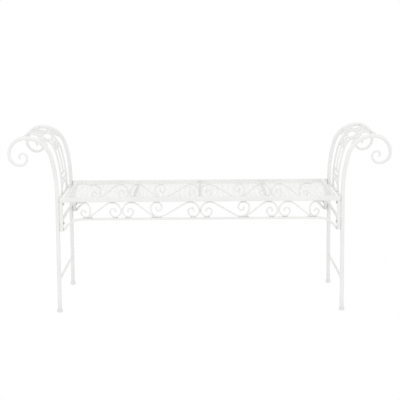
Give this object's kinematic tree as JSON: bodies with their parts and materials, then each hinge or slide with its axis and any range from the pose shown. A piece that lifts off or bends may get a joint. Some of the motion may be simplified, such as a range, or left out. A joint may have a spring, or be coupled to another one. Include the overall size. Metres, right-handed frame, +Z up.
{
  "type": "backless garden bench",
  "caption": "Backless bent-tube bench with rolled scroll arms at both ends, an open wire-mesh seat, scrollwork aprons and capped feet.",
  "frame": {"origin": "centre of the floor under the bench", "axes": "+X along the length to the right, -Y towards the front, +Z up"},
  "size_m": [1.5032, 0.423, 0.705],
  "materials": {
    "white_paint": "satin",
    "mesh_paint": "satin",
    "foot_plastic": "matt",
    "bolt_metal": "satin"
  },
  "bodies": {
    "root": {"left_front_leg": "white_paint", "left_rear_leg": "white_paint", "right_front_leg": "white_paint", "right_rear_leg": "white_paint", "foot_caps": "foot_plastic", "left_seat_side_rail": "white_paint", "right_seat_side_rail": "white_paint", "left_lower_side_rail": "white_paint", "right_lower_side_rail": "white_paint", "left_stretcher": "white_paint", "right_stretcher": "white_paint", "left_arm_uprights": "white_paint", "right_arm_uprights": "white_paint", "left_arm_centre_bar": "white_paint", "right_arm_centre_bar": "white_paint", "left_arm_bands": "white_paint", "right_arm_bands": "white_paint", "left_arm_wishbone": "white_paint", "right_arm_wishbone": "white_paint", "left_arm_lower_curls": "white_paint", "right_arm_lower_curls": "white_paint", "left_arm_upper_curls": "white_paint", "right_arm_upper_curls": "white_paint", "left_arm_outer_scrolls": "white_paint", "right_arm_outer_scrolls": "white_paint", "left_arm_cross_bar": "white_paint", "right_arm_cross_bar": "white_paint", "seat_front_rail": "white_paint", "seat_rear_rail": "white_paint", "seat_left_rail": "white_paint", "seat_right_rail": "white_paint", "seat_cross_members": "white_paint", "seat_mesh_1": "mesh_paint", "seat_mesh_2": "mesh_paint", "seat_mesh_3": "mesh_paint", "seat_mesh_4": "mesh_paint", "front_corner_posts": "white_paint", "rear_corner_posts": "white_paint", "front_apron_rail": "white_paint", "rear_apron_rail": "white_paint", "left_apron_rail": "white_paint", "right_apron_rail": "white_paint", "front_s_scrolls": "white_paint", "rear_s_scrolls": "white_paint", "front_c_scrolls": "white_paint", "rear_c_scrolls": "white_paint", "front_wave_scrolls": "white_paint", "rear_wave_scrolls": "white_paint", "front_end_scrolls": "white_paint", "rear_end_scrolls": "white_paint", "frame_bolts": "bolt_metal", "frame_washers": "bolt_metal", "leg_inserts": "bolt_metal"}
  },
  "joints": []
}
